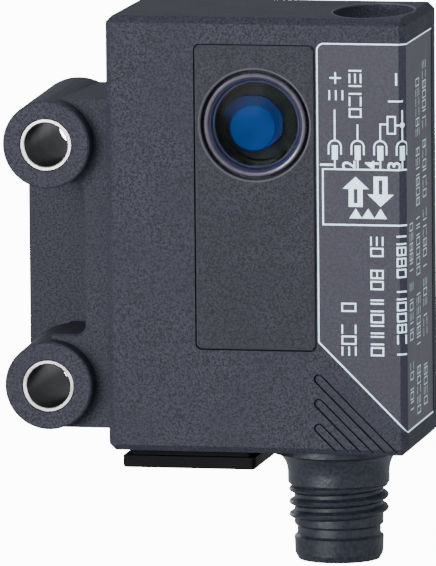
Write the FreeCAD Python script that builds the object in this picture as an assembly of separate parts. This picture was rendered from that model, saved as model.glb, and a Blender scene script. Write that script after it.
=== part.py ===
"""Photoelectric sensor in a small rectangular plastic housing with a round connector.

Every piece is drawn from the housing's lower left front corner (x right, y to the
back, z up) and then moved so that the origin is the centre of the two mounting
holes on the back face. The lens looks towards -Y.
"""
import FreeCAD
import Part
import math
import os

V = FreeCAD.Vector

# ---- driving dimensions, millimetres ----
BODY_W = 23.8            # housing, left to right without the ear
BODY_D = 13.0            # housing, front to back
BODY_H = 34.2            # housing, bottom to top
EDGE_CUT = 0.5           # chamfer on the housing's outer edges, but not round its back
EDGE_R = 0.08            # softening of every outer corner line
WALL = 1.3               # side, top and bottom walls
FRONT_WALL = 1.5
COVER_T = 1.2            # rear cover
FIT_GAP = 0.05           # gap around glued or welded pieces

BOSS_X = -4.75           # the two mounting bosses, left of the housing
BOSS_Z = (5.0, 24.0)
BOSS_R = 3.45
BOSS_REAR_R = 3.82       # the bosses widen towards the back by their moulding draft
SLEEVE_R = 2.1           # metal sleeve, outside
SLEEVE_BORE_R = 1.7      # metal sleeve, hole for an M3 screw
SHOULDER_Y = 1.5         # front of the ear between the bosses and the housing
WEB_Y = 9.0              # front of the thin web at the back of the ear

PANEL_X = (7.03, 16.66)  # inset front panel
PANEL_Z = (8.1, 32.12)
PANEL_DEPTH = 0.9
LENS_X = 11.85
LENS_Z = 25.8
PANEL_HOLE_R = 4.33
BEZEL_R = 4.05
LENS_R = 3.3

LABEL_X = 16.77          # type label on the front and the right side
LABEL_Z = (1.8, 32.33)
LABEL_BACK = 11.45       # the label ends here on the right side
LABEL_POCKET = 0.1       # depth of the shallow pocket that the label lies in
LABEL_FACE = 0.04        # the label's face lies this far below the housing's
GROOVE_STARTS = ((16.8, 5.97), (16.8, 4.05), (16.8, 2.1))
GROOVE_W = 0.8
GROOVE_DEPTH = 0.35
GROOVE_RIB = 0.54         # width of the rib that stands in each groove

BUTTON_X = 20.2          # teach button in the top face
BUTTON_Y = 6.0
DISH_HALF = (3.1, 5.15)  # the oval dish around it, half width and half depth
DISH_SHIFT = 0.15        # the dish's rim lies this far behind the button's middle
DISH_FLOOR_Z = 33.0
BUTTON_R = 2.0
BUTTON_HOLE_R = 2.35
BUTTON_FLANGE_R = 2.6
PAD_Z = 31.3             # underside of the thick pad around the button

PLUG_X = 17.2            # round connector in the bottom face
PLUG_Y = 6.0
NECK_R = 4.0
THREAD_R = 3.93          # M8 x 1 outside
THREAD_ROOT_R = 3.5
THREAD_PITCH = 1.0
PLUG_BORE_R = 2.9
PLUG_END_Z = -9.0
SPIGOT_R = 3.6
PIN_R = 0.5
PIN_SPOTS = ((-1.1, -1.4), (1.1, -1.4), (-1.55, 0.75), (1.55, 0.75))

BOARD_Y = (9.3, 10.1)    # main circuit board
OPTIC_Y = (2.1, 8.8)     # optics holder, front to back


# ---- helpers ----
def block(x0, x1, y0, y1, z0, z1):
    return Part.makeBox(x1 - x0, y1 - y0, z1 - z0, V(x0, y0, z0))


def rod_y(x, z, r, y0, y1):
    """Cylinder along the depth."""
    return Part.makeCylinder(r, y1 - y0, V(x, y0, z), V(0, 1, 0))


def rod_z(x, y, r, z0, z1):
    """Upright cylinder."""
    return Part.makeCylinder(r, z1 - z0, V(x, y, z0), V(0, 0, 1))


def ring_y(x, z, r_out, r_in, y0, y1):
    return rod_y(x, z, r_out, y0, y1).cut(rod_y(x, z, r_in, y0 - 1, y1 + 1))


def ring_z(x, y, r_out, r_in, z0, z1):
    return rod_z(x, y, r_out, z0, z1).cut(rod_z(x, y, r_in, z0 - 1, z1 + 1))


def edges_along(shape, direction):
    """Straight edges parallel to a direction."""
    found = []
    for edge in shape.Edges:
        if isinstance(edge.Curve, Part.Line):
            if abs(edge.tangentAt(edge.FirstParameter).dot(direction)) > 0.999:
                found.append(edge)
    return found


def rounded_block(x0, x1, y0, y1, z0, z1, r, direction):
    """Box with the four edges along one direction rounded."""
    shape = block(x0, x1, y0, y1, z0, z1)
    return shape.makeFillet(r, edges_along(shape, direction))


def prism_y(points, y0, y1):
    """Outline in x and z, pushed along the depth."""
    corners = [V(x, y0, z) for x, z in points]
    face = Part.Face(Part.makePolygon(corners + corners[:1]))
    return face.extrude(V(0, y1 - y0, 0))


def revolved(points, x, y):
    """Outline in radius and z, turned about an upright axis."""
    corners = [V(x + r, y, z) for r, z in points]
    face = Part.Face(Part.makePolygon(corners + corners[:1]))
    return face.revolve(V(x, y, 0), V(0, 0, 1), 360)


def fused(shapes):
    whole = shapes[0]
    for shape in shapes[1:]:
        whole = whole.fuse(shape)
    return whole.removeSplitter()


# ---- housing ----
def outer_block(inset):
    """The housing's outside with its chamfers, drawn in by an inset on every side."""
    shape = block(inset, BODY_W - inset, inset, BODY_D - inset, inset, BODY_H - inset)
    cut = EDGE_CUT - (2 - math.sqrt(2)) * inset
    shape = shape.makeChamfer(cut, [e for e in shape.Edges if e.BoundBox.YMin < BODY_D - inset - 0.01])
    return shape.makeFillet(EDGE_R, shape.Edges)


def ear():
    z0, z1 = BOSS_Z[0] - BOSS_R, BOSS_Z[1] + BOSS_R
    shoulder = block(BOSS_X, 0.6, SHOULDER_Y, BODY_D, z0, z1)
    pocket = rounded_block(BOSS_X - 5, -2.05, 0, WEB_Y, 8.9, 20.85, 0.7, V(0, 1, 0))
    web = block(-8.1, 0.6, WEB_Y, BODY_D, BOSS_Z[0], BOSS_Z[1])
    shoulder = shoulder.cut(pocket)
    rim = [e for e in shoulder.Edges if abs(e.BoundBox.YMin - SHOULDER_Y) < 0.01
           and e.BoundBox.YLength < 0.01 and e.BoundBox.XMax < -2.0
           and e.BoundBox.ZMin > 8.8 and e.BoundBox.ZMax < 20.95]
    pieces = [shoulder.makeChamfer(0.15, rim), web]
    for z in BOSS_Z:
        boss = Part.makeCone(BOSS_R, BOSS_REAR_R, BODY_D, V(BOSS_X, 0, z), V(0, 1, 0))
        pieces.append(boss.makeChamfer(0.12, [e for e in boss.Edges if e.Closed]))
    shape = fused(pieces)
    for z in BOSS_Z:
        shape = shape.cut(rod_y(BOSS_X, z, SLEEVE_R, -1, BODY_D + 1))
    return shape


def label_region():
    """Space covered by the type label, from the front round to the right side."""
    x0, (z0, z1) = LABEL_X, LABEL_Z
    r = 0.6
    corner = [(x0 + r - r * math.cos(a), z1 - r + r * math.sin(a))
              for a in [math.radians(15 * k) for k in range(7)]]
    front = [(x0, z0 + BODY_W - x0)] + corner + [(BODY_W + 1, z1), (BODY_W + 1, z0), (BODY_W, z0)]
    return prism_y(front, -1, LABEL_BACK)


def slanted_bar(x, z, width, y0, y1):
    """Round-ended bar that runs down to the right and out at the bottom edge."""
    run = z + 2
    bar = block(0, run * math.sqrt(2), y0, y1, -width / 2, width / 2)
    bar.rotate(V(0, 0, 0), V(0, 1, 0), 45)
    bar.translate(V(x, 0, z))
    return bar.fuse(rod_y(x, z, width / 2, y0, y1)).removeSplitter()


def grooves():
    """Three slanted finger grooves, each with a rib standing in it."""
    shapes = []
    for x, z in GROOVE_STARTS:
        groove = slanted_bar(x, z, GROOVE_W, -1, GROOVE_DEPTH)
        shapes.append(groove.cut(slanted_bar(x, z, GROOVE_RIB, 0.05, GROOVE_DEPTH + 1)))
    return shapes


def dish():
    """Oval bowl in the top face that narrows to a round floor."""
    wires = []
    for k in range(5):
        t = k / 4.0
        spread = math.sin(t * math.pi / 2)
        half_x = 2.98 + (DISH_HALF[0] - 2.98) * spread
        half_y = 2.98 + (DISH_HALF[1] - 2.98) * spread
        centre = V(BUTTON_X, BUTTON_Y + DISH_SHIFT * spread, DISH_FLOOR_Z + (BODY_H - DISH_FLOOR_Z) * t * t)
        oval = Part.Ellipse(centre + V(0, half_y, 0), centre + V(half_x, 0, 0), centre)
        wires.append(Part.Wire([oval.toShape()]))
    return Part.makeLoft(wires, True)


def housing():
    shape = outer_block(0).fuse(ear())
    back_y = BODY_D - COVER_T
    cavity = block(WALL, BODY_W - WALL, FRONT_WALL, BODY_D + 1, WALL, BODY_H - WALL)
    pad = block(16.3, BODY_W - WALL + 0.1, FRONT_WALL - 0.1, back_y - 0.3, PAD_Z, BODY_H - WALL + 0.1)
    shape = shape.cut(cavity.cut(pad))
    shape = shape.cut(block(0.75, BODY_W - 0.75, back_y, BODY_D + 1, 0.75, BODY_H - 0.75))
    shape = shape.cut(rounded_block(PANEL_X[0], PANEL_X[1], -1, PANEL_DEPTH,
                                    PANEL_Z[0], PANEL_Z[1], 0.5, V(0, 1, 0)))
    shape = shape.cut(rod_y(LENS_X, LENS_Z, 3.7, 0, FRONT_WALL + 1))
    for groove in grooves():
        shape = shape.cut(groove)
    shape = shape.cut(label_region().cut(outer_block(LABEL_POCKET)))
    shape = shape.cut(dish())
    shape = shape.cut(rod_z(BUTTON_X, BUTTON_Y, 3.0, 32.3, DISH_FLOOR_Z + 0.1))
    shape = shape.cut(rod_z(BUTTON_X, BUTTON_Y, BUTTON_HOLE_R, PAD_Z - 1, 32.3))
    shape = shape.cut(rod_z(BUTTON_X, BUTTON_Y, BUTTON_FLANGE_R + 0.3, PAD_Z - 1.5, PAD_Z))
    shape = shape.cut(rod_z(PLUG_X, PLUG_Y, SPIGOT_R + FIT_GAP, -1, WALL + 1))
    shape = shape.cut(rounded_block(1.3, 11.2, 1.6, 10.4, -1, 0.4, 0.4, V(0, 0, 1)))
    return shape.removeSplitter()


def rear_cover():
    gap = 0.75 + FIT_GAP
    plate = rounded_block(gap, BODY_W - gap, BODY_D - COVER_T + 0.2, BODY_D - 0.02,
                          gap, BODY_H - gap, 0.3, V(0, 1, 0))
    window = rounded_block(5, 18.8, BODY_D - 0.2, BODY_D + 1, 8, 26, 0.8, V(0, 1, 0))
    return plate.cut(window)


def rear_cover_seal():
    """Flat ring between the rear cover and the step in the housing wall."""
    y0 = BODY_D - COVER_T
    outside = block(0.85, BODY_W - 0.85, y0, y0 + 0.2, 0.85, BODY_H - 0.85)
    return outside.cut(block(1.25, BODY_W - 1.25, y0 - 1, y0 + 1, 1.25, BODY_H - 1.25))


def mounting_sleeve(z):
    """Turned metal tube with its four rims broken."""
    tube = ring_y(BOSS_X, z, SLEEVE_R, SLEEVE_BORE_R, 0, BODY_D)
    return tube.makeChamfer(0.1, [edge for edge in tube.Edges if edge.Closed])


def mounting_sleeves():
    return Part.makeCompound([mounting_sleeve(z) for z in BOSS_Z])


def foot_rail():
    """T-shaped rail under the left half, let into the housing's bottom."""
    root = rounded_block(1.35, 11.15, 1.65, 10.35, -0.5, 0.38, 0.35, V(0, 0, 1))
    foot = rounded_block(0.95, 11.5, 1.0, 11.0, -1.45, -0.5, 0.3, V(0, 0, 1))
    foot = foot.makeChamfer(0.12, [e for e in foot.Edges if e.BoundBox.ZMax < -1.4])
    return root.fuse(foot).removeSplitter()


def type_label():
    return label_region().common(outer_block(LABEL_FACE)).cut(outer_block(LABEL_POCKET - 0.01))


# ---- front panel and optics ----
def front_panel():
    g = 0.09
    plate = rounded_block(PANEL_X[0] + g, PANEL_X[1] - g, 0.03, 0.73,
                          PANEL_Z[0] + g, PANEL_Z[1] - g, 0.4, V(0, 1, 0))
    plate = plate.cut(rod_y(LENS_X, LENS_Z, PANEL_HOLE_R, -1, 2))
    return plate.makeChamfer(0.1, [e for e in plate.Edges if e.BoundBox.YMax < 0.1])


def panel_seal():
    """Adhesive frame that holds the front panel in its recess."""
    x0, x1, z0, z1 = PANEL_X[0] + 0.4, PANEL_X[1] - 0.4, PANEL_Z[0] + 0.4, PANEL_Z[1] - 0.4
    sheet = block(x0, x1, 0.73, PANEL_DEPTH, z0, z1)
    return sheet.cut(rod_y(LENS_X, LENS_Z, PANEL_HOLE_R, 0, 2))


def lens_bezel_ring():
    """Ring around the lens with a rounded lip and a slanted inner wall."""
    outline = [(BEZEL_R, PANEL_DEPTH), (BEZEL_R, 0.3), (BEZEL_R - 0.06, 0.2), (BEZEL_R - 0.16, 0.16),
               (BEZEL_R - 0.28, 0.2), (3.62, 0.42), (3.56, 0.46), (3.42, 0.72), (LENS_R, 0.78), (LENS_R, PANEL_DEPTH)]
    corners = [V(LENS_X + r, y, LENS_Z) for r, y in outline]
    face = Part.Face(Part.makePolygon(corners + corners[:1]))
    return face.revolve(V(LENS_X, 0, LENS_Z), V(0, 1, 0), 360)


def front_lens():
    disc = rod_y(LENS_X, LENS_Z, LENS_R - 0.03, 0.5, 2.2)
    radius = 15.5
    ball = Part.makeSphere(radius, V(LENS_X, 0.5 + radius, LENS_Z))
    return disc.common(ball)


def lens_tube():
    tube = ring_y(LENS_X, LENS_Z, 3.6, 3.0, PANEL_DEPTH, 6.6)
    tube = tube.cut(rod_y(LENS_X, LENS_Z, LENS_R, 0, 2.25))
    port = block(LENS_X - 1.5, LENS_X + 1.5, 4.2, 6.2, LENS_Z - 5, LENS_Z)
    return tube.cut(port)


def lens_seal():
    return ring_y(LENS_X, LENS_Z, 4.2, 3.62, FRONT_WALL, 2.05)


def aperture_stop():
    return ring_y(LENS_X, LENS_Z, 2.98, 1.75, 2.9, 3.1)


def blue_filter():
    return rod_y(LENS_X, LENS_Z, 2.95, 3.15, 3.75)


def beam_splitter():
    plate = block(-1.8, 1.8, -0.2, 0.2, -1.4, 1.4)
    plate.rotate(V(0, 0, 0), V(1, 0, 0), 45)
    plate.translate(V(LENS_X, 5.1, LENS_Z))
    return plate


def polariser_foil():
    return rod_y(LENS_X, LENS_Z, 2.95, 6.4, 6.55)


def optics_holder():
    y0, y1 = OPTIC_Y
    shape = rounded_block(7.4, 16.1, y0, y1, 20.0, 30.4, 0.6, V(0, 1, 0))
    shape = shape.cut(rod_y(LENS_X, LENS_Z, 3.65, y0 - 1, y1 + 1))
    return shape.cut(block(10.1, 13.6, 3.4, 6.9, 20.7, 23.0))


def receiver_photodiode():
    case = block(10.2, 13.5, 3.6, 6.7, 20.75, 21.75)
    window = rod_z(LENS_X, 5.15, 0.9, 21.75, 21.95)
    return case.fuse(window).removeSplitter()


def receiver_shield():
    """Bent metal sheet around the lower half of the optics holder."""
    outer = block(7.05, 16.45, 2.6, 8.4, 19.65, 24.5)
    return outer.cut(block(7.35, 16.15, 2, 9, 19.95, 25))


def emitter_led():
    case = block(LENS_X - 1.5, LENS_X + 1.5, 8.2, 9.25, LENS_Z - 1.5, LENS_Z + 1.5)
    dome = Part.makeSphere(1.0, V(LENS_X, 8.2, LENS_Z))
    return case.fuse(dome.cut(block(LENS_X - 2, LENS_X + 2, 8.2, 10, LENS_Z - 2, LENS_Z + 2))).removeSplitter()


def emitter_sleeve():
    return ring_y(LENS_X, LENS_Z, 3.1, 2.4, 6.75, 9.2)


# ---- circuit boards ----
def main_circuit_board():
    board = block(2.0, 21.9, BOARD_Y[0], BOARD_Y[1], 3.4, 31.0)
    for x in (3.2, 20.7):
        board = board.cut(rod_y(x, 4.6, 0.6, 9, 11))
    return board


def chip(x, z, side, height, legs):
    """Flat square chip with legs on its left and right."""
    y1 = BOARD_Y[0]
    pieces = [block(x - side / 2, x + side / 2, y1 - height, y1 - 0.1, z - side / 2, z + side / 2)]
    for k in range(legs):
        zk = z - side / 2 + (k + 0.5) * side / legs
        pieces.append(block(x - side / 2 - 0.5, x + side / 2 + 0.5, y1 - 0.3, y1, zk - 0.12, zk + 0.12))
    return fused(pieces)


def controller_chip():
    return chip(7.0, 13.2, 5.0, 1.0, 8)


def driver_chip():
    return chip(17.6, 11.0, 3.6, 0.9, 4)


def chip_resistors():
    y1 = BOARD_Y[0]
    spots = [(12.4, z) for z in (7.0, 8.6, 10.2, 11.8, 13.4)] + [(4.6, z) for z in (20.0, 21.6, 23.2)]
    return Part.makeCompound([block(x - 0.8, x + 0.8, y1 - 0.4, y1, z - 0.4, z + 0.4) for x, z in spots])


def chip_capacitors():
    y1 = BOARD_Y[0]
    spots = [(18.6, 16.4), (18.6, 18.6), (14.0, 16.2), (4.2, 27.0), (4.2, 29.2)]
    return Part.makeCompound([block(x - 1.0, x + 1.0, y1 - 0.9, y1, z - 0.6, z + 0.6) for x, z in spots])


def storage_capacitor():
    y1 = BOARD_Y[0]
    return rounded_block(4.0, 8.2, y1 - 2.6, y1, 5.8, 8.9, 0.25, V(0, 1, 0))


def switch_board():
    return block(16.9, 22.3, 2.4, 9.25, 26.3, 26.9)


def indicator_leds():
    spots = ((17.8, 3.6), (17.8, 8.2))
    return Part.makeCompound([block(x - 0.5, x + 0.5, y - 0.6, y + 0.6, 26.9, 27.6) for x, y in spots])


def tact_switch_body():
    case = block(18.5, 21.9, 4.3, 7.7, 26.9, 29.0)
    case = case.cut(rod_z(BUTTON_X, BUTTON_Y, 1.45, 27.2, 28.6))
    return case.cut(rod_z(BUTTON_X, BUTTON_Y, 1.05, 28, 30))


def switch_dome():
    """Springy snap disc, domed upwards."""
    outer = revolved([(0, 28.0), (0.4, 27.97), (0.8, 27.83), (1.1, 27.58), (1.25, 27.2), (1.13, 27.2),
                      (1.0, 27.52), (0.74, 27.74), (0.38, 27.86), (0, 27.89)], BUTTON_X, BUTTON_Y)
    return outer


def switch_plunger():
    wide = rod_z(BUTTON_X, BUTTON_Y, 1.1, 28.03, 28.25)
    return wide.fuse(rod_z(BUTTON_X, BUTTON_Y, 0.75, 28.25, 29.5)).removeSplitter()


# ---- teach button ----
def teach_button():
    """Pressed button with a hollowed top and a flange that keeps it in."""
    flange_z = (PAD_Z - 0.8, PAD_Z - 0.3)
    return revolved([(0, 29.5), (0.9, 29.5), (0.9, flange_z[0]), (BUTTON_FLANGE_R, flange_z[0]),
                     (BUTTON_FLANGE_R, flange_z[1]), (BUTTON_R, flange_z[1]), (BUTTON_R, 31.5),
                     (BUTTON_R - 0.3, 31.5), (BUTTON_R - 0.3, 31.9), (BUTTON_R, 31.9),
                     (BUTTON_R, 33.1), (BUTTON_R - 0.15, 33.25), (1.7, 33.2), (0.9, 33.0), (0, 32.95)],
                    BUTTON_X, BUTTON_Y)


def button_seal():
    return ring_z(BUTTON_X, BUTTON_Y, BUTTON_R + 0.08, BUTTON_R - 0.3, 31.5, 31.9)


def light_ring():
    return ring_z(BUTTON_X, BUTTON_Y, 2.98, BUTTON_HOLE_R, 32.3, 33.1)


# ---- connector ----
def flare():
    """Round foot that widens from the neck to the housing's bottom."""
    wires = []
    for k in range(9):
        t = k / 8.0
        f = 1 - math.sqrt(1 - (1 - t) ** 2)
        centre = V(PLUG_X - 0.15 * f, PLUG_Y, -0.5 - 1.7 * t)
        wires.append(Part.Wire([Part.makeCircle(NECK_R + 1.1 * f, centre, V(0, 0, 1))]))
    foot = rod_z(PLUG_X - 0.15, PLUG_Y, NECK_R + 1.1, -0.5, 0)
    return foot.fuse(Part.makeLoft(wires, True, True))


def thread():
    """Rounded screw thread on its core, a little under three turns."""
    turns = 2.65
    inner, outer = THREAD_ROOT_R - 0.15, THREAD_R
    points = [(inner, -0.46), (outer - 0.08, -0.15), (outer, 0.0), (outer - 0.08, 0.15), (inner, 0.46)]
    corners = [V(r, 0, z) for r, z in points]
    profile = Part.Wire(Part.makePolygon(corners + corners[:1]))
    helix = Part.makeHelix(THREAD_PITCH, turns * THREAD_PITCH, THREAD_ROOT_R)
    ridge = Part.Wire(helix).makePipeShell([profile], True, True)
    ridge.rotate(V(0, 0, 0), V(0, 0, 1), 150)
    ridge.translate(V(PLUG_X, PLUG_Y, -5.61))
    return rod_z(PLUG_X, PLUG_Y, THREAD_ROOT_R, -6.2, -2.0).fuse(ridge)


def connector_shell():
    core = revolved([(0, -0.3), (NECK_R, -0.3), (NECK_R, -2.9), (THREAD_ROOT_R + 0.05, -3.4),
                     (3.4, -3.4), (3.4, -6.1), (THREAD_ROOT_R, -6.2), (3.28, -6.4), (3.28, -7.0), (3.52, -7.2),
                     (3.46, -8.5), (3.2, PLUG_END_Z), (0, PLUG_END_Z)], PLUG_X, PLUG_Y)
    shape = thread().fuse(core).fuse(flare()).fuse(rod_z(PLUG_X, PLUG_Y, SPIGOT_R, -0.2, 2.9))
    shape = shape.cut(rod_z(PLUG_X, PLUG_Y, PLUG_BORE_R, PLUG_END_Z - 1, 3.5))
    return shape.removeSplitter()


def connector_seal_ring():
    return ring_z(PLUG_X, PLUG_Y, 4.2, SPIGOT_R + 0.01, WALL, 1.8)


def connector_lock_ring():
    return ring_z(PLUG_X, PLUG_Y, 4.3, SPIGOT_R + 0.01, 1.8, 2.7)


def contact_pin(dx, dy):
    x, y = PLUG_X + dx, PLUG_Y + dy
    shaft = rod_z(x, y, PIN_R, -7.5, 3.6)
    tip = Part.makeSphere(PIN_R, V(x, y, -7.5))
    return shaft.fuse(tip).removeSplitter()


def contact_pins():
    return Part.makeCompound([contact_pin(dx, dy) for dx, dy in PIN_SPOTS])


def contact_carrier():
    shape = rod_z(PLUG_X, PLUG_Y, PLUG_BORE_R - 0.02, -3.6, 2.9)
    key = block(PLUG_X - 0.45, PLUG_X + 0.45, PLUG_Y + 2.2, PLUG_Y + PLUG_BORE_R - 0.15, -6.2, -3.6)
    shape = shape.fuse(key)
    for dx, dy in PIN_SPOTS:
        shape = shape.cut(rod_z(PLUG_X + dx, PLUG_Y + dy, PIN_R, -9, 4))
    return shape.removeSplitter()


def connector_wires():
    """Short wires from the contact pins up and back to the circuit board."""
    wires = []
    for k, (dx, dy) in enumerate(PIN_SPOTS):
        x, y, top = PLUG_X + dx, PLUG_Y + dy, 4.6 + 0.8 * (k // 2)
        up = rod_z(x, y, 0.3, 3.6, top)
        back = rod_y(x, top, 0.3, y, BOARD_Y[0])
        wires.append(fused([up, back, Part.makeSphere(0.3, V(x, y, top))]))
    return Part.makeCompound(wires)


PIECES = (
    housing, rear_cover, rear_cover_seal, mounting_sleeves, foot_rail, type_label,
    front_panel, panel_seal, lens_bezel_ring, front_lens, lens_tube, lens_seal,
    aperture_stop, blue_filter, beam_splitter, polariser_foil, optics_holder,
    receiver_photodiode, receiver_shield, emitter_led, emitter_sleeve,
    main_circuit_board, controller_chip, driver_chip, chip_resistors, chip_capacitors,
    storage_capacitor, switch_board, indicator_leds, tact_switch_body, switch_dome,
    switch_plunger, teach_button, button_seal, light_ring, connector_shell,
    connector_seal_ring, connector_lock_ring, contact_carrier, contact_pins, connector_wires,
)

os.makedirs("parts", exist_ok=True)
to_frame = V(-BOSS_X, -BODY_D, -(BOSS_Z[0] + BOSS_Z[1]) / 2)
for build in PIECES:
    shape = build()
    shape.translate(to_frame)
    shape.exportStep("parts/" + build.__name__ + ".step")
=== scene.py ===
# %% [markdown]
# # A small photoelectric sensor, dressed in Blender
# The engineering model comes in finished, as a fixed frame: every solid already has its true size
# and place. This lesson gives each solid a finish that could be touched, prints the label, builds
# the optics that are seen through the lens, and lights it all as a studio would.
# All lengths are written in millimetres and multiplied by MM, because Blender works in metres.

# %% Load the frame
import math
import random
import bmesh
import bpy
from mathutils import Matrix, Vector


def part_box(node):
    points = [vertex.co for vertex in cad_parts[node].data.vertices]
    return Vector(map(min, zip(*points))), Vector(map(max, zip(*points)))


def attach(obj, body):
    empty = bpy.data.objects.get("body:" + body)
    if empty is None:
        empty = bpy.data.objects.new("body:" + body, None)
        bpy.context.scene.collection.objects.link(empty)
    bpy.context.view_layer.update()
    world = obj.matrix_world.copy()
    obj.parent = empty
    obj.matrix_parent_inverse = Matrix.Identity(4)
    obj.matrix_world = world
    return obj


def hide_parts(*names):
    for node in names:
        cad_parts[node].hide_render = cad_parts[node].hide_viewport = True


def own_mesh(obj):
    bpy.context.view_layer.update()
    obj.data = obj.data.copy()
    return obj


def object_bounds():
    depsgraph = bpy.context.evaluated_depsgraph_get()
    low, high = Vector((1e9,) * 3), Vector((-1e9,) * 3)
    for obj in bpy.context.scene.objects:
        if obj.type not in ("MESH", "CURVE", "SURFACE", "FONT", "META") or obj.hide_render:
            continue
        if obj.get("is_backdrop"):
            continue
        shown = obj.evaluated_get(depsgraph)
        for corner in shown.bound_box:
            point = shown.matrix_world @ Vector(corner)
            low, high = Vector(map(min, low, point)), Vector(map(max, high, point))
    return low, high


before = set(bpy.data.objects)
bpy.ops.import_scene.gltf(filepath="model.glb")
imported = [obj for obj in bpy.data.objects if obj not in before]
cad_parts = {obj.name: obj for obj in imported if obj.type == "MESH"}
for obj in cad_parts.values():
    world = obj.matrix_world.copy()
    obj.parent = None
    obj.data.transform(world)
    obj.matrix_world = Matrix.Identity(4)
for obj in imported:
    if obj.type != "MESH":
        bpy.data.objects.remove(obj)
cad_box = [list(corner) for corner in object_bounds()]
MM = 0.001
print("CAD solids loaded:", len(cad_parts))

# %% [markdown]
# ## A way to write shader maths
# A material is a web of nodes, and sums in it are easier to read as sums. The class below holds one
# output of one node. Adding, subtracting, multiplying or dividing two of them places a Math node,
# so a line of Python becomes a piece of the web. Everything else goes through `node`, which takes
# the kind of node, its settings and what its sockets hold.

# %% The wrapped socket
class Signal:
    """One output of a node, to be used like a number in an expression."""

    def __init__(self, tree, output):
        self.tree = tree
        self.output = output

    def node(self, kind, settings=None, inputs=None, output=0):
        """Place a node, make its settings, then fill or link its sockets."""
        made = self.tree.nodes.new("ShaderNode" + kind)
        for name, setting in (settings or {}).items():
            setattr(made, name, setting)
        for name, value in (inputs or {}).items():
            if isinstance(value, Signal):
                self.tree.links.new(value.output, made.inputs[name])
            else:
                made.inputs[name].default_value = value
        return Signal(self.tree, made.outputs[output])

    def math(self, operation, *values):
        return self.node("Math", {"operation": operation}, dict(enumerate(values)))

    def __add__(self, other):
        return self.math("ADD", self, other)

    def __sub__(self, other):
        return self.math("SUBTRACT", self, other)

    def __rsub__(self, other):
        return self.math("SUBTRACT", other, self)

    def __mul__(self, other):
        return self.math("MULTIPLY", self, other)

    def __truediv__(self, other):
        return self.math("DIVIDE", self, other)

    __radd__ = __add__
    __rmul__ = __mul__

    def power(self, exponent):
        return self.math("POWER", self, exponent)

    def absolute(self):
        return self.math("ABSOLUTE", self, 0)

    def least(self, other):
        return self.math("MINIMUM", self, other)

    def most(self, other):
        return self.math("MAXIMUM", self, other)

    def step(self, low, high):
        """0 below low, 1 above high, and smooth between them."""
        return self.node("MapRange", {"interpolation_type": "SMOOTHSTEP"},
                         {"Value": self, "From Min": low, "From Max": high})

    def blend(self, first, second):
        """first where this signal is 0, second where it is 1: colours or colour signals."""
        return self.node("Mix", {"data_type": "RGBA"}, {0: self, 6: first, 7: second}, 2)

    def axes(self):
        """The x, y and z of a vector signal."""
        split = self.tree.nodes.new("ShaderNodeSeparateXYZ")
        self.tree.links.new(self.output, split.inputs[0])
        return [Signal(self.tree, split.outputs[i]) for i in range(3)]

    def noise(self, size, detail=2.0, stretch=(1, 1, 1)):
        """Soft random grain whose lumps are about `size` millimetres across."""
        place = self.node("Mapping", {}, {"Vector": self, "Scale": tuple(1 / s for s in stretch)})
        return self.node("TexNoise", {}, {"Vector": place, "Scale": 1 / (size * MM),
                                          "Detail": detail, "Roughness": 0.55})

    def lines(self, size, detail=2.0):
        """Random lines across this number, `size` millimetres apart, as a lathe leaves them."""
        return self.node("TexNoise", {"noise_dimensions": "1D"},
                         {"W": self, "Scale": 1 / (size * MM), "Detail": detail})

    def cells(self, size):
        """How far it is to the middle of the nearest of scattered cells, `size` millimetres across."""
        return self.node("TexVoronoi", {"feature": "F1"},
                         {"Vector": self, "Scale": 1 / (size * MM)}, "Distance")

    def bump(self, depth):
        """A surface normal from this height, `depth` millimetres from lowest to highest."""
        return self.node("Bump", {}, {"Height": self, "Distance": depth * MM, "Strength": 1.0})


print("sums that a Signal knows:", ", ".join(n for n in vars(Signal) if not n.startswith("__")))

# %% [markdown]
# ## Starting and finishing a material
# Every material starts the same way, with the object's own coordinates, and ends by filling the
# sockets of one Principled shader. Object coordinates are in metres and stay with the solid, so a
# grain never slides when the button moves. Colours are given as they look in daylight, from 0 to
# 255, and turned into the straight scale that light adds up in.

# %% Helpers for materials
materials = {}


def daylight(red, green, blue):
    """A colour from 0-255 values to Blender's linear scale."""
    def straight(value):
        value /= 255
        return value / 12.92 if value <= 0.04045 else ((value + 0.055) / 1.055) ** 2.4
    return (straight(red), straight(green), straight(blue), 1.0)


def scaled(colour, factor):
    """The same colour, brighter or darker."""
    return tuple(c * factor for c in colour[:3]) + (1.0,)


def start(name):
    """A new material: (its Object coordinates, its shader node)."""
    material = bpy.data.materials.new(name + "_finish")
    material.use_nodes = True
    tree = material.node_tree
    tree.nodes.clear()
    surface = tree.nodes.new("ShaderNodeOutputMaterial")
    shader = tree.nodes.new("ShaderNodeBsdfPrincipled")
    tree.links.new(shader.outputs[0], surface.inputs["Surface"])
    place = tree.nodes.new("ShaderNodeTexCoord")
    materials[name] = material
    return Signal(tree, place.outputs["Object"]), shader


def finish(shader, **sockets):
    """Fill the shader's sockets; base_color=... stands for the socket Base Color."""
    tree = shader.id_data
    for name, value in sockets.items():
        title = name.replace("_", " ").title().replace("Ior", "IOR")
        if isinstance(value, Signal):
            tree.links.new(value.output, shader.inputs[title])
        else:
            shader.inputs[title].default_value = value


def centre_of(node):
    """The middle of a CAD solid's box."""
    low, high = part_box(node)
    return (low + high) / 2


# %% [markdown]
# ## Moulded plastic
# The housing is injection moulded in a tool whose walls were etched by sparks, which leaves a fine,
# even, sandy grain. Three sizes of noise make it: the sparks' own pits, a softer unevenness in how
# the plastic took the grain, and slow patches where the melt flowed. The pits go into the bump,
# and all three vary colour and gloss a little, because a pit holds less light than a ridge.

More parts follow.
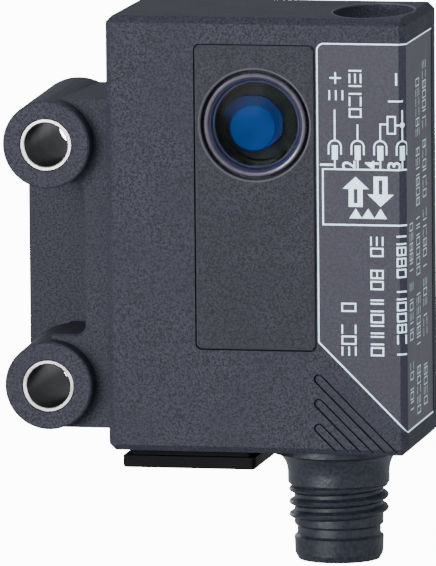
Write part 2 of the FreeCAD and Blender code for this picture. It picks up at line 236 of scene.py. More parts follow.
# %% A function for every moulded plastic
def moulded(name, tone, grain=0.16, depth=0.006, rough=0.55, mottle=0.3, shine=0.5, painted_highlight_mask=None):
    """Moulded plastic; an optional mask marks edges made glossier and given a painted highlight."""
    place, shader = start(name)
    pits = place.noise(grain, detail=3)
    fine = place.noise(grain * 0.45, detail=2)
    flow = place.noise(grain * 30, detail=2)
    height = pits * 0.7 + fine * 0.3
    colour = height.step(0.38, 0.62).blend(scaled(tone, 1 - mottle), scaled(tone, 1 + 1.5 * mottle))
    colour = (flow.step(0.35, 0.65) * 0.35).blend(colour, scaled(tone, 1.1))
    gloss = rough + (flow - 0.5) * 0.14 + (0.5 - height) * 0.2
    if painted_highlight_mask:
        edge = painted_highlight_mask(place)
        # painted highlight: the masked edges take a lighter colour
        colour = edge.blend(colour, daylight(84, 83, 90))
        gloss = gloss - edge * 0.15
    finish(shader, base_color=colour, roughness=gloss, normal=height.bump(depth),
           specular_ior_level=shine)


def panel_edge_highlight(place):
    """A mask along the panel's outline and round its hole: glossier there, with a painted highlight.
    """
    low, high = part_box("front_panel")
    middle = centre_of("front_lens")
    across, along, upward = place.axes()
    inwards = (across - low.x).least(high.x - across).least((upward - low.z).least(high.z - upward))
    out = ((across - middle.x).power(2) + (upward - middle.z).power(2)).power(0.5)
    rim = 1 - out.step(4.42 * MM, 4.5 * MM)
    return rim.most((1 - inwards.step(0.07 * MM, 0.13 * MM)) * 0.5)


DISH_HALF_WIDTH = 3.1 * MM
DISH_HALF_DEPTH = 5.15 * MM
DISH_SHIFT = 0.15 * MM                    # the dish's middle lies behind the button's


def dish_rim_highlight(place):
    """A mask along the rim of the oval dish, rubbed glossier by fingers and given a painted highlight.
    """
    middle = centre_of("light_ring")
    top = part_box("housing")[1].z
    across, along, upward = place.axes()
    across = (across - middle.x) / DISH_HALF_WIDTH
    along = (along - middle.y - DISH_SHIFT) / DISH_HALF_DEPTH
    oval = (across.power(2) + along.power(2)).power(0.5)
    band = 1 - (oval - 1.0).absolute().step(0.02, 0.05)
    return band * upward.step(top - 0.12 * MM, top - 0.06 * MM)


moulded("housing_plastic", daylight(44, 44, 54), grain=0.16, depth=0.03, rough=0.66,
        mottle=0.48, shine=0.2, painted_highlight_mask=dish_rim_highlight)
moulded("panel_plastic", daylight(30, 31, 41), grain=0.14, depth=0.025, rough=0.52,
        mottle=0.65, shine=0.22, painted_highlight_mask=panel_edge_highlight)
moulded("connector_plastic", daylight(30, 33, 42), grain=0.3, depth=0.03, rough=0.36,
        mottle=0.5, shine=0.36)
moulded("rail_plastic", daylight(4, 4, 6), grain=0.2, depth=0.02, rough=0.5, shine=0.08)
moulded("black_plastic", daylight(3, 7, 7), grain=0.12, depth=0.004, rough=0.5, shine=0.1)
moulded("button_plastic", daylight(30, 35, 46), grain=0.14, depth=0.004, rough=0.36, shine=0.3)
print("moulded plastics:", len(materials))

# %% [markdown]
# ## Rubber
# The seals are moulded too, but rubber keeps dust and talc from the bag, so it is dull and has
# small pale specks. Scattered cells, cut off close to their middles, give the specks.

# %% Rubber
place, shader = start("black_rubber")
specks = 1 - place.cells(0.5).step(0.05, 0.16)
skin = place.noise(0.08, detail=3)
finish(shader, base_color=(specks * 0.35).blend(daylight(20, 20, 22), daylight(70, 70, 72)),
       roughness=0.78 + (skin - 0.5) * 0.2, normal=skin.bump(0.004), specular_ior_level=0.35)

# %% [markdown]
# ## The turned steel sleeves
# Each boss carries a steel tube that takes the screw's pull. It was cut on a lathe, so its end shows
# rings about its own axis and its bore shows rings along its length. The bore's colour is painted
# shade, set far darker than the polished end's, so that it reads as a deep hole. The two tubes sit
# at equal heights above and below the middle, so folding the height over at zero lets one pattern of
# distances serve both.

# %% Steel
place, shader = start("sleeve_steel")
across, along, upward = place.axes()
low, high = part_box("mounting_sleeves")
sleeve_radius = (high.x - low.x) / 2
sleeve_height = high.z - sleeve_radius
out = (across.power(2) + (upward.absolute() - sleeve_height).power(2)).power(0.5)
turning = out.lines(0.035) * 0.6 + along.lines(0.16, detail=3) * 0.4
smears = place.noise(1.3)
BORE_R = 1.74 * MM
bore = 1 - out.step(BORE_R - 0.02 * MM, BORE_R + 0.02 * MM)
bright_steel = smears.step(0.3, 0.7).blend(daylight(232, 222, 220), daylight(246, 242, 240))
# painted shade: the bore's steel is painted far darker, so it reads as a deep hole
bore_steel_painted_shade = turning.step(0.3, 0.7).blend(daylight(28, 28, 33), daylight(60, 59, 66))
finish(shader, base_color=bore.blend(bright_steel, bore_steel_painted_shade), metallic=1.0 - bore * 0.25,
       roughness=0.2 + bore * 0.22 + (turning - 0.5) * 0.3 + (smears - 0.5) * 0.12,
       normal=turning.bump(0.004))

# %% [markdown]
# ## The label's foil
# The type plate is black polyester film, smoother than the housing and a shade warmer and lighter,
# with a satin coat that scatters light in a slightly leathery way.

# %% Foil
place, shader = start("label_foil")
satin = place.noise(0.2, detail=3)
drift = place.noise(3.5)
foil = satin.step(0.35, 0.65).blend(daylight(32, 31, 44), daylight(50, 49, 64))
finish(shader, base_color=(drift.step(0.3, 0.7) * 0.5).blend(foil, daylight(43, 42, 55)),
       roughness=0.42 + (satin - 0.5) * 0.16 + (drift - 0.5) * 0.08, normal=satin.bump(0.01),
       specular_ior_level=0.3)

# %% [markdown]
# ## Printing ink
# The marks are burnt or printed in a pale, faintly blue white. Ink is never quite even: the layer
# thins in tiny patches, so both its colour and its gloss waver. The studio light alone leaves the
# marks too grey, so a weak glow in the ink's own colour is added. It is a stand-in, not a lamp.

# %% Ink
place, shader = start("label_ink")
patchy = place.noise(0.12, detail=2)
white = patchy.step(0.25, 0.6).blend(daylight(150, 214, 244), daylight(226, 248, 255))
finish(shader, base_color=white, emission_color=white, emission_strength=0.9,
       roughness=0.5 + (patchy - 0.5) * 0.3, normal=patchy.bump(0.002))

place, shader = start("label_small_ink")
patchy = place.noise(0.16, detail=2)
white = patchy.step(0.25, 0.7).blend(daylight(146, 176, 186), daylight(228, 244, 250))
finish(shader, base_color=white, emission_color=white, emission_strength=0.25,
       roughness=0.5 + (patchy - 0.5) * 0.3, normal=patchy.bump(0.002))

# %% [markdown]
# ## The bezel round the lens
# This ring is polished in its tool, so it reflects where the housing only glows. A trace of turning
# from the tool runs round it, and a clear coat gives the thin bright line on each of its edges. Its
# outer face is painted lighter as a painted reflection, and its inner lip darker and bluer as painted
# shade.

# %% Bezel
place, shader = start("bezel_plastic")
middle = centre_of("lens_bezel_ring")
across, along, upward = place.axes()
out = ((across - middle.x).power(2) + (upward - middle.z).power(2)).power(0.5)
rings = out.lines(0.05)
haze = place.noise(1.6)
face = haze.step(0.3, 0.7).blend(daylight(72, 68, 82), daylight(84, 78, 90))
# painted reflection and shade: outside this radius the face is painted lighter, inside it the lip dark
# blue
painted_lit_face = out.step(3.6 * MM, 3.75 * MM)
finish(shader, base_color=painted_lit_face.blend(daylight(34, 37, 62), face),
       roughness=0.26 + (rings - 0.5) * 0.12 + (haze - 0.5) * 0.1, normal=rings.bump(0.001),
       coat_weight=0.6, coat_roughness=0.08)

# %% [markdown]
# ## Lens glass and coated glass
# The front lens is clear plastic that really bends light, so what lies behind it is drawn through
# it. Its refractive index is set far too low on purpose, to stand for a coating that takes away
# most of the reflection. A wipe leaves faint smears, which show only in the roughness. The coated
# filter behind throws back mostly blue.

# %% Glass
place, shader = start("lens_glass")
smear = place.noise(1.8, detail=3, stretch=(1, 1, 0.35))
finish(shader, base_color=(0.92, 0.98, 1.0, 1), transmission_weight=1.0, ior=1.07,
       roughness=smear.step(0.45, 0.8) * 0.04)

place, shader = start("blue_glass")
coat = place.noise(2.2)
finish(shader, base_color=coat.step(0.3, 0.7).blend(daylight(0, 46, 104), daylight(0, 54, 116)),
       roughness=0.4 + (coat - 0.5) * 0.1, specular_ior_level=0.02)

place, shader = start("optic_coating")
coat = place.noise(1.4)
across, along, upward = place.axes()
middle = centre_of("front_lens")
# painted shade: the window is painted nearly black towards its lower left
clear_of_painted_shade = ((across - middle.x) * 0.7 + (upward - middle.z) * 0.7).step(-1.9 * MM, -1.2 * MM)
sheen = coat.step(0.35, 0.65).blend(daylight(4, 36, 78), daylight(28, 30, 76))
finish(shader, base_color=clear_of_painted_shade.blend(daylight(6, 12, 16), sheen),
       roughness=0.4 + (coat - 0.5) * 0.12, specular_ior_level=0.02)

place, shader = start("splitter_mirror")
coat = place.noise(1.2)
finish(shader, base_color=coat.blend(daylight(150, 170, 200), daylight(190, 190, 210)),
       metallic=0.9, roughness=0.06 + coat * 0.04)

# %% [markdown]
# ## Inside: metal, chips, board and wires
# These parts are hidden while the housing is closed, but they are real solids and anyone may lift
# the cover off, so each gets its own finish: rolled sheet, moulded epoxy, green lacquer over
# copper tracks, fired ceramic and gilt pins.

# %% Sheet metal and gilt brass
def metal(name, first, second, rough, line=0.06):
    place, shader = start(name)
    rolled = place.noise(line, detail=3, stretch=(1, 14, 1))
    cloud = place.noise(1.5)
    finish(shader, base_color=cloud.step(0.3, 0.7).blend(first, second), metallic=1.0,
           roughness=rough + (rolled - 0.5) * 0.2 + (cloud - 0.5) * 0.1, normal=rolled.bump(0.002))


metal("shield_steel", daylight(190, 190, 188), daylight(212, 212, 208), 0.34)
metal("brass_parts", daylight(222, 184, 98), daylight(236, 202, 124), 0.24)

# %% Board, chips and ceramics
place, shader = start("board_laminate")
across, along, upward = place.axes()
turned = place.node("Mapping", {}, {"Vector": place, "Rotation": (math.pi / 2, 0, 0)})
tracks = place.node("TexBrick", {"offset": 0.5, "squash": 1.0},
                    {"Vector": turned, "Scale": 1 / (4 * MM), "Mortar Size": 0.04,
                     "Mortar Smooth": 0.3, "Brick Width": 1.0, "Row Height": 0.25}, 1)
weave = place.noise(0.3, detail=3)
holes = 1 - turned.cells(2.4).step(0.09, 0.12)
green = weave.step(0.3, 0.7).blend(daylight(10, 62, 34), daylight(14, 74, 42))
board = holes.blend(tracks.blend(green, daylight(34, 112, 62)), daylight(196, 168, 96))
finish(shader, base_color=board, roughness=0.35 + (weave - 0.5) * 0.2, metallic=holes * 0.8,
       normal=(tracks * 0.5 + weave * 0.2).bump(0.02), coat_weight=0.3)

place, shader = start("chip_plastic")
sand = place.noise(0.07, detail=3)
dot = 1 - place.cells(3.2).step(0.06, 0.08)
finish(shader, base_color=dot.blend(daylight(26, 27, 28), daylight(120, 122, 120)),
       roughness=0.6 + (sand - 0.5) * 0.3, normal=sand.bump(0.004), specular_ior_level=0.4)

place, shader = start("capacitor_ceramic")
fired = place.noise(0.2, detail=3)
clay = fired.step(0.3, 0.7).blend(daylight(150, 116, 84), daylight(172, 138, 104))
finish(shader, base_color=clay, roughness=0.42 + (fired - 0.5) * 0.3, normal=fired.bump(0.004))

# %% Lamps, the smoky ring and the wires
place, shader = start("led_plastic")
cast = place.noise(0.4)
finish(shader, base_color=cast.blend(daylight(214, 206, 176), daylight(236, 228, 200)),
       roughness=0.22 + cast * 0.1, transmission_weight=0.35, subsurface_weight=0.1)

place, shader = start("smoky_plastic")
cast = place.noise(0.5, detail=3)
finish(shader, base_color=cast.step(0.3, 0.7).blend(daylight(62, 66, 74), daylight(78, 82, 90)),
       roughness=0.3 + (cast - 0.5) * 0.14, normal=cast.bump(0.002), coat_weight=0.3)

place, shader = start("wire_insulation")
across, along, upward = place.axes()
middle = centre_of("connector_wires")
skin = place.noise(0.2, detail=2)
left = (across - middle.x).step(-0.1 * MM, 0.1 * MM)
front = (along - middle.y).step(-0.1 * MM, 0.1 * MM)
pair_front = left.blend(daylight(96, 58, 34), daylight(226, 226, 222))
pair_back = left.blend(daylight(30, 66, 150), daylight(22, 22, 24))
finish(shader, base_color=front.blend(pair_front, pair_back), normal=skin.bump(0.004),
       roughness=0.4 + (skin - 0.5) * 0.2)
print("materials made:", len(materials))

# %% [markdown]
# ## Hand the finishes to the CAD solids
# Each solid came in with a plain material named after its slot in the record. Swapping that for
# the finish with the same name dresses all of them in one loop, and the loop stops if one is left.

# %% Dress the CAD solids
for node_name, node_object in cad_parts.items():
    for slot in node_object.material_slots:
        slot.material = materials[slot.material.name.split(".")[0]]
print("solids dressed:", len(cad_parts))

# %% [markdown] ## The snap disc The springy disc under the button flattens as the button goes down;
# here it is built as one fixed thin dome in place of the CAD solid.

# %% Snap disc
DISC_WALL = 0.1 * MM
disc_low, disc_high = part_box("switch_dome")
disc_radius = (disc_high.x - disc_low.x) / 2
disc_height = disc_high.z - disc_low.z
disc_foot = Vector(((disc_low.x + disc_high.x) / 2, (disc_low.y + disc_high.y) / 2, disc_low.z))
bpy.ops.object.select_all(action="DESELECT")
bpy.ops.mesh.primitive_uv_sphere_add(segments=48, ring_count=24, radius=disc_radius,
                                     location=(0, 0, 0))
snap_disc = bpy.context.object
snap_disc.name = "snap_disc"
bpy.ops.object.mode_set(mode="EDIT")
bpy.ops.mesh.select_all(action="SELECT")
bpy.ops.mesh.bisect(plane_co=(0, 0, 0), plane_no=(0, 0, 1), clear_inner=True)
bpy.ops.mesh.select_all(action="SELECT")
bpy.ops.transform.resize(value=(1, 1, disc_height / disc_radius), center_override=(0, 0, 0))
bpy.ops.transform.translate(value=disc_foot)
bpy.ops.object.mode_set(mode="OBJECT")
wall = snap_disc.modifiers.new("wall", "SOLIDIFY")
wall.thickness = DISC_WALL
wall.offset = -1
bpy.ops.object.modifier_apply(modifier=wall.name)
bpy.ops.object.shade_smooth()
snap_disc.data.materials.append(materials["shield_steel"])
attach(snap_disc, "sensor")
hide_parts("switch_dome")
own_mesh(snap_disc)
print("snap disc:", len(snap_disc.data.polygons), "faces")

# %% [markdown]
# ## The print on the label
# The label starts on the front, folds round the chamfered edge and goes on along the side. Real
# labels are printed flat and folded afterwards, and so is this one: every mark is drawn on one flat
# sheet, the sheet is cut along its two fold lines, and the far side is turned 45 degrees twice.
# Distances on the sheet are in millimetres from the label's lower left corner. The wording of a
# real plate is left out: rows of plain strokes stand for it, and only the pin numbers are readable.

# %% The flat sheet and its folds
label_low, label_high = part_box("type_label")
CHAMFER = 0.48 * MM                       # how far the chamfer cuts back, on each face
FOLD_LENGTH = CHAMFER * math.sqrt(2)
FIRST_FOLD = label_high.x - CHAMFER       # where the front face ends
SECOND_FOLD = FIRST_FOLD + FOLD_LENGTH    # where the side face starts, still flat
SHEET_Y = label_low.y - 0.003 * MM        # just proud of the foil
STROKE = 0.122                            # width of the print's heavier strokes
LABEL_HEIGHT = (label_high.z - label_low.z) / MM
FRONT_WIDTH = (FIRST_FOLD - label_low.x) / MM
FULL_WIDTH = (SECOND_FOLD - label_low.x + (label_high.y - label_low.y) - CHAMFER) / MM
print(f"label: {FRONT_WIDTH:.2f} mm of front, {FULL_WIDTH:.2f} x {LABEL_HEIGHT:.2f} mm unfolded")


def spot(u, w, lift=0.0):
    """A point of the flat sheet, in metres, or a little in front of it."""
    return (label_low.x + u * MM, SHEET_Y - lift * MM, label_low.z + w * MM)


def bar(u, w, width, height):
    """A filled stroke about its own middle; level ones lie over upright ones where they cross."""
    middle = spot(u, w, 0.004 if width > height else 0.002)
    bpy.ops.mesh.primitive_plane_add(size=MM, location=middle, rotation=(math.pi / 2, 0, 0))
    bpy.ops.transform.resize(value=(width, 1, height), center_override=middle)


def line(u0, w0, u1, w1, thick=STROKE):
    """A level or upright stroke from one point to another."""
    bar((u0 + u1) / 2, (w0 + w1) / 2, abs(u1 - u0) or thick, abs(w1 - w0) or thick)


def new_print(name):
    """An empty mesh object in edit mode, ready for strokes."""
    bpy.ops.object.select_all(action="DESELECT")
    bpy.ops.mesh.primitive_plane_add(size=MM, location=(0, 0, 0))
    sheet = bpy.context.object
    sheet.name = name
    bpy.ops.object.mode_set(mode="EDIT")
    bpy.ops.mesh.select_all(action="SELECT")
    bpy.ops.mesh.delete(type="VERT")
    return sheet


def select_beyond(sheet, limit):
    """In edit mode, select what lies to the right of a fold."""
    shape = bmesh.from_edit_mesh(sheet.data)
    for vertex in shape.verts:
        vertex.select = vertex.co.x > limit + 0.0005 * MM
    shape.select_flush_mode()
    bmesh.update_edit_mesh(sheet.data)


def fold(sheet, limit):
    """Cut the sheet at x = limit and turn what lies beyond it 45 degrees backwards."""
    bpy.ops.mesh.select_all(action="SELECT")
    bpy.ops.mesh.bisect(plane_co=(limit, 0, 0), plane_no=(1, 0, 0))
    bpy.ops.mesh.select_mode(type="VERT")
    select_beyond(sheet, limit)
    bpy.ops.transform.rotate(value=-math.pi / 4, orient_axis="Z", orient_type="GLOBAL",
                             center_override=(limit, SHEET_Y, 0))


def finish_print(sheet, ink, thickness=0.014):
    """Fold the sheet round the edge, give the ink its thickness and let it ride on the sensor."""
    fold(sheet, SECOND_FOLD)
    fold(sheet, FIRST_FOLD)
    bpy.ops.object.mode_set(mode="OBJECT")
    solid = sheet.modifiers.new("ink", "SOLIDIFY")
    solid.thickness = thickness * MM
    solid.offset = 1
    bpy.ops.object.modifier_apply(modifier="ink")
    sheet.data.materials.clear()
    sheet.data.materials.append(materials[ink])
    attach(sheet, "sensor")
    low = min(v.co.y for v in sheet.data.vertices) / MM
    print(f"{sheet.name}: {len(sheet.data.polygons)} faces, front at y {low:.3f} mm")


# %% [markdown]
# ## The border line
# The border follows the label's outline, with one rounded and one slanting corner. A plane of the
# label's full size is sliced at the slanting corner, one corner is bevelled, and an inset makes the
# band. Only the band is kept, without the stretch at the far end of the side face.

# %% Border
BORDER = 0.115                            # width of the border line
SLANT = 7.03                              # the corner cut at 45 degrees starts this far up
ROUND = 0.6                               # radius of the rounded corner

label_print = new_print("label_print")
bar(FULL_WIDTH / 2, LABEL_HEIGHT / 2, FULL_WIDTH, LABEL_HEIGHT)
bpy.ops.mesh.bisect(plane_co=spot(0, SLANT), plane_no=(-1, 0, -1), clear_outer=True)
bpy.ops.mesh.select_mode(type="VERT")
shape = bmesh.from_edit_mesh(label_print.data)
for vertex in shape.verts:
    vertex.select = (vertex.co - Vector(spot(0, LABEL_HEIGHT))).length < 0.01 * MM
shape.select_flush_mode()
bmesh.update_edit_mesh(label_print.data)
bpy.ops.mesh.bevel(offset=ROUND * MM, segments=8, affect="VERTICES")
bpy.ops.mesh.select_all(action="SELECT")
bpy.ops.mesh.select_mode(type="FACE")
shape = bmesh.from_edit_mesh(label_print.data)
print("border outline:", len(shape.verts), "points,", len(shape.faces), "face")
bpy.ops.mesh.inset(thickness=BORDER * MM)
shape = bmesh.from_edit_mesh(label_print.data)
shape.faces.ensure_lookup_table()
for face in shape.faces:
    far = face.calc_center_median().x > spot(FULL_WIDTH - BORDER, 0)[0]
    face.select = far or face.calc_area() > 30 * MM * MM
bmesh.update_edit_mesh(label_print.data)
bpy.ops.mesh.delete(type="FACE")

# %% [markdown]
# ## The wiring diagram
# Four sockets with their pins stand on a box with two arrows. Half rings are circles whose lower
# half is bisected away, arrow heads and triangles are three-cornered circles, and the hollow load
# symbol is drawn from four strokes. What repeats is drawn in a loop.

# %% Sockets, pins and the box
PINS = (1.43, 3.23, 5.02, 6.80)
STEM_TOPS = (25.3, 24.15, 24.2, 25.3)
BOX_LEFT, BOX_RIGHT, BOX_LOW, BOX_HIGH = 0.47, 7.2, 16.3, 20.64
SOCKET_W = 22.4                           # height of the sockets' middles
SOCKET_R = 0.49
THIN = 0.12                               # width of the diagram's strokes


def half_ring(u, w, radius, thick):
    """An arch: a ring with its lower half cut away."""
    bpy.ops.mesh.select_all(action="DESELECT")
    bpy.ops.mesh.primitive_circle_add(vertices=32, radius=(radius + thick / 2) * MM,
                                      fill_type="NGON", location=spot(u, w),
                                      rotation=(math.pi / 2, 0, 0))
    bpy.ops.mesh.select_mode(type="FACE")
    bpy.ops.mesh.inset(thickness=thick * MM)
    bpy.ops.mesh.delete(type="FACE")
    shape = bmesh.from_edit_mesh(label_print.data)
    middle = Vector(spot(u, w))
    for face in shape.faces:
        face.select = all(abs((v.co - middle).length / MM - radius) < thick for v in face.verts)
    bmesh.update_edit_mesh(label_print.data)
    bpy.ops.mesh.bisect(plane_co=middle, plane_no=(0, 0, -1), clear_outer=True)


def triangle(u, w, half_width, height, up=1):
    """A triangle standing on its base, or hanging from it when up is -1."""
    bpy.ops.mesh.primitive_circle_add(vertices=3, radius=MM, fill_type="NGON",
                                      location=spot(u, w), rotation=(math.pi / 2, 0, 0))
    wide = half_width / math.cos(math.pi / 6)
    tall = height / 1.5
    bpy.ops.transform.resize(value=(wide, 1, tall * up), center_override=spot(u, w))


for pin, top in zip(PINS, STEM_TOPS):
    half_ring(pin, SOCKET_W, SOCKET_R, THIN)
    for side in (-1, 1):
        line(pin + side * SOCKET_R, SOCKET_W + 0.01, pin + side * SOCKET_R, SOCKET_W - 0.62, THIN)
    bar(pin, 21.95, 0.46, 1.12)
    line(pin, 21.4, pin, BOX_HIGH, THIN)
    line(pin, SOCKET_W + SOCKET_R, pin, top, THIN)

line(BOX_LEFT, BOX_HIGH, BOX_RIGHT, BOX_HIGH)
line(BOX_LEFT, BOX_LOW, BOX_RIGHT, BOX_LOW)
line(BOX_LEFT, BOX_LOW - STROKE / 2, BOX_LEFT, BOX_HIGH + STROKE / 2)
print("diagram:", len(bmesh.from_edit_mesh(label_print.data).faces), "faces so far")

# %% The load symbol
LOAD = (5.90, 24.14)
LOAD_SIZE = (0.72, 1.44)
for side in (-1, 1):
    line(LOAD[0] + side * (LOAD_SIZE[0] - THIN) / 2, LOAD[1] - LOAD_SIZE[1] / 2,
         LOAD[0] + side * (LOAD_SIZE[0] - THIN) / 2, LOAD[1] + LOAD_SIZE[1] / 2, THIN)
    line(LOAD[0] - LOAD_SIZE[0] / 2, LOAD[1] + side * (LOAD_SIZE[1] - THIN) / 2,
         LOAD[0] + LOAD_SIZE[0] / 2, LOAD[1] + side * (LOAD_SIZE[1] - THIN) / 2, THIN)
line(PINS[2] - THIN / 2, LOAD[1] + 0.06, LOAD[0] - LOAD_SIZE[0] / 2, LOAD[1] + 0.06, THIN)
line(LOAD[0] + LOAD_SIZE[0] / 2, LOAD[1], PINS[3], LOAD[1], THIN)
bpy.ops.mesh.primitive_circle_add(vertices=20, radius=0.21 * MM, fill_type="NGON",
                                  location=spot(PINS[3], LOAD[1]), rotation=(math.pi / 2, 0, 0))

# %% Arrows and triangles
def arrow(u, tip, up):
    """A hollow-shafted arrow; up is 1 or -1."""
    head = 0.95
    shaft = 1.4
    base = tip - up * head
    end = base - up * shaft
    triangle(u, tip - up * head * 2 / 3, 1.03, head, up)
    for side in (-1, 1):
        bar(u + side * 0.35, (base + end) / 2, 0.4, shaft)
    bar(u, end + up * 0.14, 0.3, 0.28)


arrow(3.05, 20.07, 1)
arrow(5.02, 17.76, -1)
for step in range(3):
    triangle(3.05 + step * 0.98, 17.07, 0.5, 0.78)

# %% [markdown]
# ## Strokes that stand for words
# Words become small figures made of two to four strokes, like the segments of a counter. Which
# segments are inked comes from a short list and a seeded draw, so the rows look like print from a
# hand's distance, can't be read, and come out the same every time. They run up the label, turned a
# quarter to the left, as the words on such a plate do.

# %% Figures and rows
FIGURES = ("lrtb", "lrtbm", "lr", "tb", "l", "lrtb", "tbm", "lrtb")
chance = random.Random(41)


def figure(u0, u1, w, wide, thick, parts):
    """One figure whose foot is at u1 and head at u0, because the row runs upwards."""
    strokes = {"l": (u0, w, u1, w), "r": (u0, w + wide, u1, w + wide), "b": (u1, w, u1, w + wide),
               "t": (u0, w, u0, w + wide), "m": ((u0 + u1) / 2, w, (u0 + u1) / 2, w + wide)}
    for part in parts:
        a, b, c, d = strokes[part]
        pad = thick / 2
        if a == c:
            line(a, b - pad, c, d + pad, thick)
        else:
            line(a - pad, b, c + pad, d, thick)


def row(u0, u1, w0, w1, pitch, thick=STROKE, gaps=()):
    """A row of figures from w0 up to w1."""
    count = int((w1 - w0) / pitch)
    for i in range(count):
        if i in gaps:
            continue
        figure(u0, u1, w0 + i * pitch, pitch * 0.68, thick, chance.choice(FIGURES))


row(1.02, 2.06, 26.1, 27.1, 0.95)
row(2.62, 3.5, 24.75, 29.3, 0.9)
row(5.72, 6.8, 26.0, 27.0, 0.95)
line(1.05, 27.77, 1.95, 27.77, STROKE)
line(1.5, 27.32, 1.5, 28.22, STROKE)
line(6.3, 27.25, 6.3, 28.2, STROKE * 1.2)
row(1.92, 2.98, 6.1, 10.5, 0.86, gaps=(3,))
row(4.24, 5.16, 6.1, 15.7, 0.865, gaps=(8,))
row(6.32, 7.05, 6.2, 15.8, 0.865, gaps=(6,))

# %% [markdown]
# ## Pin numbers
# The numbers are real text objects, because figures on a dial or a plug are generic. Text is turned
# into a mesh while it still lies at the origin, then joined to the sheet.

# %% Numbers
bpy.ops.object.mode_set(mode="OBJECT")


def number(text, u_foot, w):
    """A digit lying on its side, foot to the right, as a mesh in the sheet's plane."""
    bpy.ops.object.select_all(action="DESELECT")
    bpy.ops.object.text_add(location=(0, 0, 0))
    digit = bpy.context.object
    digit.data.body = text
    digit.data.size = 1.5 * MM
    digit.data.align_x = "CENTER"
    digit.data.offset = 0.018 * MM
    bpy.ops.object.convert(target="MESH")
    digit = bpy.context.object
    digit.data.transform(Matrix.Translation(spot(u_foot, w))
                         @ Matrix.Rotation(math.pi / 2, 4, "X")
                         @ Matrix.Rotation(math.pi / 2, 4, "Z"))
    return digit


NUMBER_W = 20.98                          # height of the numbers' middles
digits = [number(text, foot, NUMBER_W) for text, foot in zip("1243", (1.3, 3.05, 4.86, 6.62))]
bpy.ops.object.select_all(action="DESELECT")
for piece in digits + [label_print]:
    piece.select_set(True)
bpy.context.view_layer.objects.active = label_print
bpy.ops.object.join()
bpy.ops.object.mode_set(mode="EDIT")
finish_print(label_print, "label_ink")

# %% [markdown]
# ## Small print on the side
# The side face carries three rows of much smaller print. They are drawn on the same flat sheet,
# past the second fold, in a duller ink and a finer stroke.

# %% Side rows
small_print = new_print("label_small_print")
side_start = (SECOND_FOLD - label_low.x) / MM
FINE = 0.09                               # width of the small print's strokes
for from_front, low_end, high_end, tall in ((1.2, 1.6, 17.0, 1.25), (4.1, 0.9, 27.5, 1.35),
                                             (7.0, 1.2, 29.2, 1.35)):
    row(side_start + from_front, side_start + from_front + tall, low_end, high_end, 0.78, FINE,
        gaps=(5, 6, 13, 20, 27))
finish_print(small_print, "label_small_ink", 0.01)

# %% [markdown]
# ## What shows through the lens
# Behind the lens sits a coated window with cut corners, and in it the round pupil of the optics.
# The window is an eight-cornered cylinder, a little flattened, with its corners bevelled round; the
# pupil is a disc whose face is inset and sunk, which leaves it a thin raised rim.

# %% Window and pupil
lens_middle = centre_of("front_lens")
WINDOW_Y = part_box("front_lens")[1].y + 0.45 * MM
WINDOW_R = 2.55
PUPIL_R = 1.79


def lens_piece(name, corners, radius, thick, x, z, y, turn=0.0):
    """A plate facing the viewer, with its place in its mesh."""
    bpy.ops.object.select_all(action="DESELECT")
    bpy.ops.mesh.primitive_cylinder_add(vertices=corners, radius=radius * MM, depth=thick * MM,
                                        location=(0, 0, 0))
    plate = bpy.context.object
    plate.name = name
    plate.data.transform(Matrix.Translation((lens_middle.x + x * MM, y, lens_middle.z + z * MM))
                         @ Matrix.Rotation(math.pi / 2, 4, "X") @ Matrix.Rotation(turn, 4, "Z"))
    bpy.ops.object.mode_set(mode="EDIT")
    bpy.ops.mesh.select_all(action="DESELECT")
    bpy.ops.mesh.select_mode(type="FACE")
    shape = bmesh.from_edit_mesh(plate.data)
    for face in shape.faces:
        face.select = face.normal.y < -0.9
    bmesh.update_edit_mesh(plate.data)
    return plate


window = lens_piece("optic_window", 8, WINDOW_R, 0.3, -0.6, -0.12, WINDOW_Y, math.pi / 8)
bpy.ops.mesh.select_all(action="SELECT")
bpy.ops.transform.resize(value=(1, 1, 0.9), center_override=tuple(lens_middle))
bpy.ops.mesh.select_all(action="DESELECT")
bpy.ops.mesh.select_mode(type="EDGE")
shape = bmesh.from_edit_mesh(window.data)
for edge in shape.edges:
    start_point, end_point = (v.co for v in edge.verts)
    edge.select = abs(start_point.y - end_point.y) > 0.1 * MM
bmesh.update_edit_mesh(window.data)
bpy.ops.mesh.bevel(offset=0.5 * MM, segments=4)
bpy.ops.object.mode_set(mode="OBJECT")
window.data.materials.append(materials["optic_coating"])

pupil = lens_piece("optic_pupil", 64, PUPIL_R, 0.12, -0.6, -0.5, WINDOW_Y - 0.2 * MM)
bpy.ops.mesh.inset(thickness=0.06 * MM)
bpy.ops.transform.translate(value=(0, 0.05 * MM, 0))
bpy.ops.object.mode_set(mode="OBJECT")
pupil.data.materials.append(materials["blue_glass"])
for piece in (window, pupil):
    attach(piece, "sensor")
    print(piece.name, len(piece.data.polygons), "faces")

# %% [markdown]
# ## Floor and light
# The sensor stands on its plug on a bright table under soft light. A big soft box on the left and
# in front models the shapes, one on the right lifts the side face, one above lights the top, a
# weak one stands behind, and the pale room fills the rest. The table and the room look brighter
# straight to the camera than they shine on the sensor, as a backdrop with its own lamps does.

# %% Floor
bpy.ops.object.select_all(action="DESELECT")
floor_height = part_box("connector_shell")[0].z - 0.02 * MM
bpy.ops.mesh.primitive_plane_add(size=6.0, location=(0, 0, floor_height))
floor = bpy.context.object
floor.name = "floor"
floor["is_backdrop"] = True
place, shader = start("pale_floor")
BACKDROP_GLOW = 12.0
seen = place.node("LightPath")
dust = place.noise(40)
finish(shader, base_color=dust.blend((0.86, 0.86, 0.86, 1), (0.9, 0.9, 0.9, 1)), roughness=0.8,
       emission_color=seen.blend((0, 0, 0, 1), (1, 1, 1, 1)), emission_strength=BACKDROP_GLOW)
floor.data.materials.append(materials["pale_floor"])

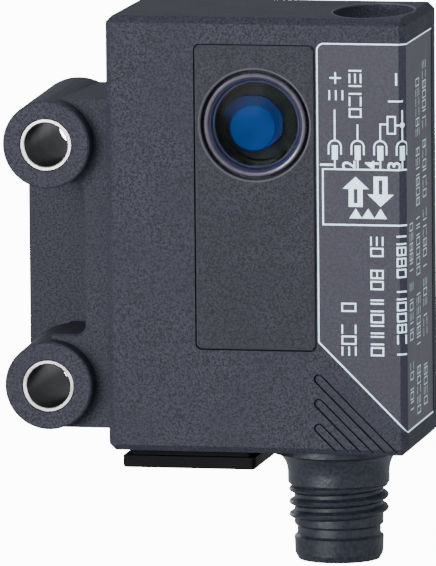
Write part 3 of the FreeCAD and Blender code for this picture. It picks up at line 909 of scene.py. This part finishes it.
world = bpy.data.worlds.new("studio")
bpy.context.scene.world = world
world.use_nodes = True
background = world.node_tree.nodes["Background"]
background.inputs["Color"].default_value = (0.93, 0.965, 1, 1)
world_path = world.node_tree.nodes.new("ShaderNodeLightPath")
ROOM_LIGHT = 0.38
camera_ray = Signal(world.node_tree, world_path.outputs["Is Camera Ray"])
brightness = camera_ray * BACKDROP_GLOW + ROOM_LIGHT
world.node_tree.links.new(brightness.output, background.inputs["Strength"])


AIM = Vector((0.012, -0.006, 0))


def soft_box(name, place, size, power, colour=(1, 1, 1)):
    """A square area light that looks at the sensor's middle."""
    data = bpy.data.lights.new(name, "AREA")
    data.size = size
    data.energy = power
    data.color = colour
    lamp = bpy.data.objects.new(name, data)
    bpy.context.scene.collection.objects.link(lamp)
    lamp.location = place
    lamp.rotation_euler = (AIM - lamp.location).to_track_quat("-Z", "Y").to_euler()
    print(name, "at", tuple(round(v, 2) for v in place))


COOL = (0.84, 0.92, 1.0)
soft_box("key", (-0.38, -0.86, 0.1), 0.6, 18.0)
soft_box("side", (0.8, -0.25, 0.2), 0.5, 1.9, COOL)
soft_box("top", (-0.1, 0.5, 0.75), 0.5, 1.7, COOL)
soft_box("back", (-0.62, 0.68, 0.1), 0.5, 1.8, COOL)

# %% [markdown]
# ## The camera
# A long lens, about 720 mm, stands nearly 0.9 m away, a little to the right and above. Its frame is
# turned by less than half a degree. The direction, the point it is focused on and where that point
# falls in the frame are all given, and the camera's matrix is built from them.

# %% Camera
AZIMUTH, ELEVATION, ROLL = 11.15, 7.82, 0.45        # degrees
FOCUS = (16.70, -8.06, -1.27)                       # millimetres, as the rest
DISTANCE = 886.2
SHIFT_RIGHT, SHIFT_UP = 3.995, 0.4225
FOCAL_LENGTH = 720.38
azimuth, elevation, roll = (math.radians(a) for a in (AZIMUTH, ELEVATION, ROLL))
back = Vector((math.sin(azimuth) * math.cos(elevation), -math.cos(azimuth) * math.cos(elevation),
               math.sin(elevation)))
right = Vector((math.cos(azimuth), math.sin(azimuth), 0))
up = back.cross(right)
focus = Vector(FOCUS) * MM
stand = focus + back * DISTANCE * MM
aim = focus - right * SHIFT_RIGHT * MM - up * SHIFT_UP * MM
look = (aim - stand).normalized()
x_axis = look.cross(up).normalized()
y_axis = x_axis.cross(look)
turned_x = math.cos(roll) * x_axis - math.sin(roll) * y_axis
turned_y = math.sin(roll) * x_axis + math.cos(roll) * y_axis
camera_data = bpy.data.cameras.new("camera")
camera = bpy.data.objects.new("camera", camera_data)
bpy.context.scene.collection.objects.link(camera)
turn = Matrix((turned_x, turned_y, -look)).transposed().to_4x4()
camera.matrix_world = Matrix.Translation(stand) @ turn
camera_data.sensor_width = 36
camera_data.lens = FOCAL_LENGTH
camera_data.clip_end = 10
bpy.context.scene.camera = camera
print("camera at", tuple(round(v, 3) for v in stand))

# %% Compare the dressed model's size with the CAD box
visual_box = [list(corner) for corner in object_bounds()]
print("largest growth, mm:", max(abs(a - b) for low, high in zip(cad_box, visual_box)
                                 for a, b in zip(low, high)) / MM)
